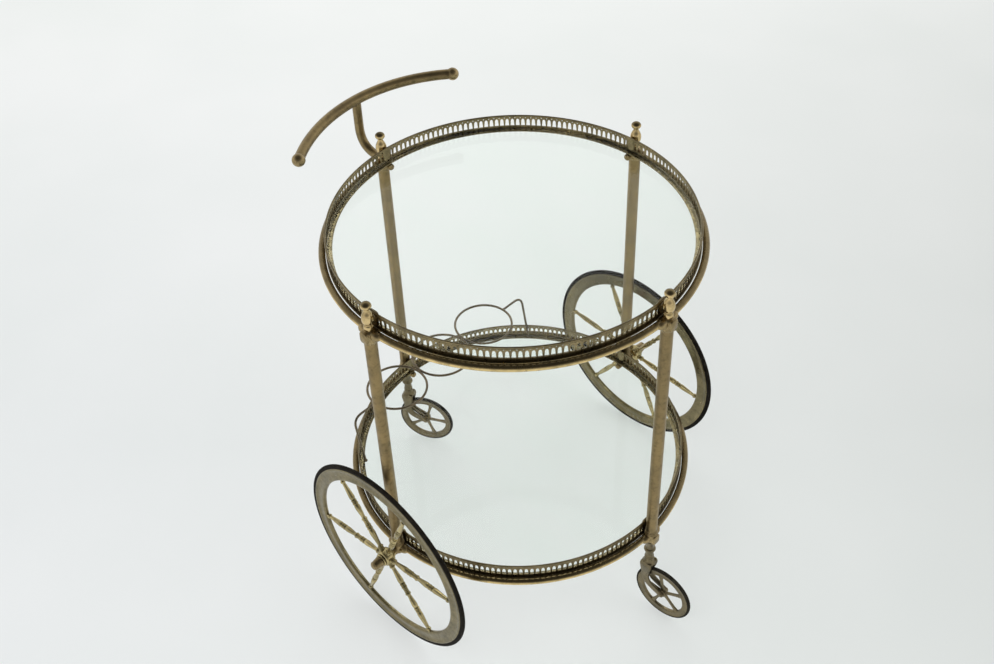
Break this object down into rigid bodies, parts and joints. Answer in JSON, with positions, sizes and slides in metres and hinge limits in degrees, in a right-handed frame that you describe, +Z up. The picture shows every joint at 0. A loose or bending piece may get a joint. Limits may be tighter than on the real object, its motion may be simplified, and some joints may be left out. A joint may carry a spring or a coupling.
{
  "type": "bar cart",
  "caption": "Round two-tier brass bar cart with lift-off glass trays in pierced galleries, turned-spoke wheels, casters, push handle and bottle rack.",
  "frame": {"origin": "on the floor, on the common vertical axis of the two round tiers", "axes": "+Z up; -X is the handle side; the large wheels are on the -Y and +Y sides; +X is the front caster side"},
  "size_m": [0.7344, 0.704, 0.7645],
  "materials": {
    "frame_brass": "aged, hand-rubbed patina",
    "polished_brass": "worn bright",
    "gallery_brass": "aged, darker in the piercings",
    "wheel_brass": "aged satin",
    "wire_brass": "dark patina",
    "tyre": "matt black rubber",
    "caster_tyre": "matt dark rubber",
    "glass": "clear float glass with a green edge"
  },
  "bodies": {
    "frame": {"upper_ring": "frame_brass", "lower_ring": "frame_brass", "post_front": "frame_brass", "post_right": "frame_brass", "post_handle": "frame_brass", "post_left": "frame_brass", "upper_couplings": "frame_brass", "lower_couplings": "frame_brass", "finials": "polished_brass", "upper_tray_pins": "frame_brass", "lower_tray_pins": "frame_brass", "axle_left": "frame_brass", "axle_right": "frame_brass", "cap_nut_left": "polished_brass", "cap_nut_right": "polished_brass", "caster_socket_front": "frame_brass", "caster_socket_handle": "frame_brass", "handle_stem": "frame_brass", "handle_grip": "frame_brass", "grip_balls": "polished_brass"},
    "upper_tray": {"upper_gallery": "gallery_brass", "upper_glass": "glass"},
    "lower_tray": {"lower_gallery": "gallery_brass", "lower_glass": "glass", "bottle_rings": "wire_brass", "rack_leg_left": "wire_brass", "rack_leg_right": "wire_brass"},
    "wheel_left": {"tyre_left": "tyre", "wheel_rim_left": "wheel_brass", "wheel_spokes_left": "wheel_brass", "wheel_hub_left": "wheel_brass"},
    "wheel_right": {"tyre_right": "tyre", "wheel_rim_right": "wheel_brass", "wheel_spokes_right": "wheel_brass", "wheel_hub_right": "wheel_brass"},
    "fork_front": {"caster_fork_front": "frame_brass", "caster_axle_front": "frame_brass"},
    "caster_front": {"caster_wheel_front": "wheel_brass", "caster_tyre_front": "caster_tyre"},
    "fork_handle": {"caster_fork_handle": "frame_brass", "caster_axle_handle": "frame_brass"},
    "caster_handle": {"caster_wheel_handle": "wheel_brass", "caster_tyre_handle": "caster_tyre"}
  },
  "joints": [
    {"name": "wheel_left_roll", "type": "hinge", "parent": "frame", "child": "wheel_left", "pos_m": [0, -0.321, 0.1795], "axis": [0, 1, 0], "continuous": true},
    {"name": "wheel_right_roll", "type": "hinge", "parent": "frame", "child": "wheel_right", "pos_m": [0, 0.321, 0.1795], "axis": [0, 1, 0], "continuous": true},
    {"name": "caster_front_swivel", "type": "hinge", "parent": "frame", "child": "fork_front", "pos_m": [0.294, 0, 0.136], "axis": [0, 0, 1], "continuous": true},
    {"name": "caster_front_roll", "type": "hinge", "parent": "fork_front", "child": "caster_front", "pos_m": [0.32695, 0.00173, 0.054], "axis": [-0.0523, 0.9986, 0], "continuous": true},
    {"name": "caster_handle_swivel", "type": "hinge", "parent": "frame", "child": "fork_handle", "pos_m": [-0.294, 0, 0.136], "axis": [0, 0, 1], "continuous": true},
    {"name": "caster_handle_roll", "type": "hinge", "parent": "fork_handle", "child": "caster_handle", "pos_m": [-0.26409, 0.01395, 0.054], "axis": [-0.4226, 0.9063, 0], "continuous": true},
    {"name": "upper_tray_lift", "type": "slide", "parent": "frame", "child": "upper_tray", "axis": [0, 0, 1], "range_m": [0, 0.3]},
    {"name": "lower_tray_lift", "type": "slide", "parent": "frame", "child": "lower_tray", "axis": [0, 0, 1], "range_m": [0, 0.36]}
  ]
}
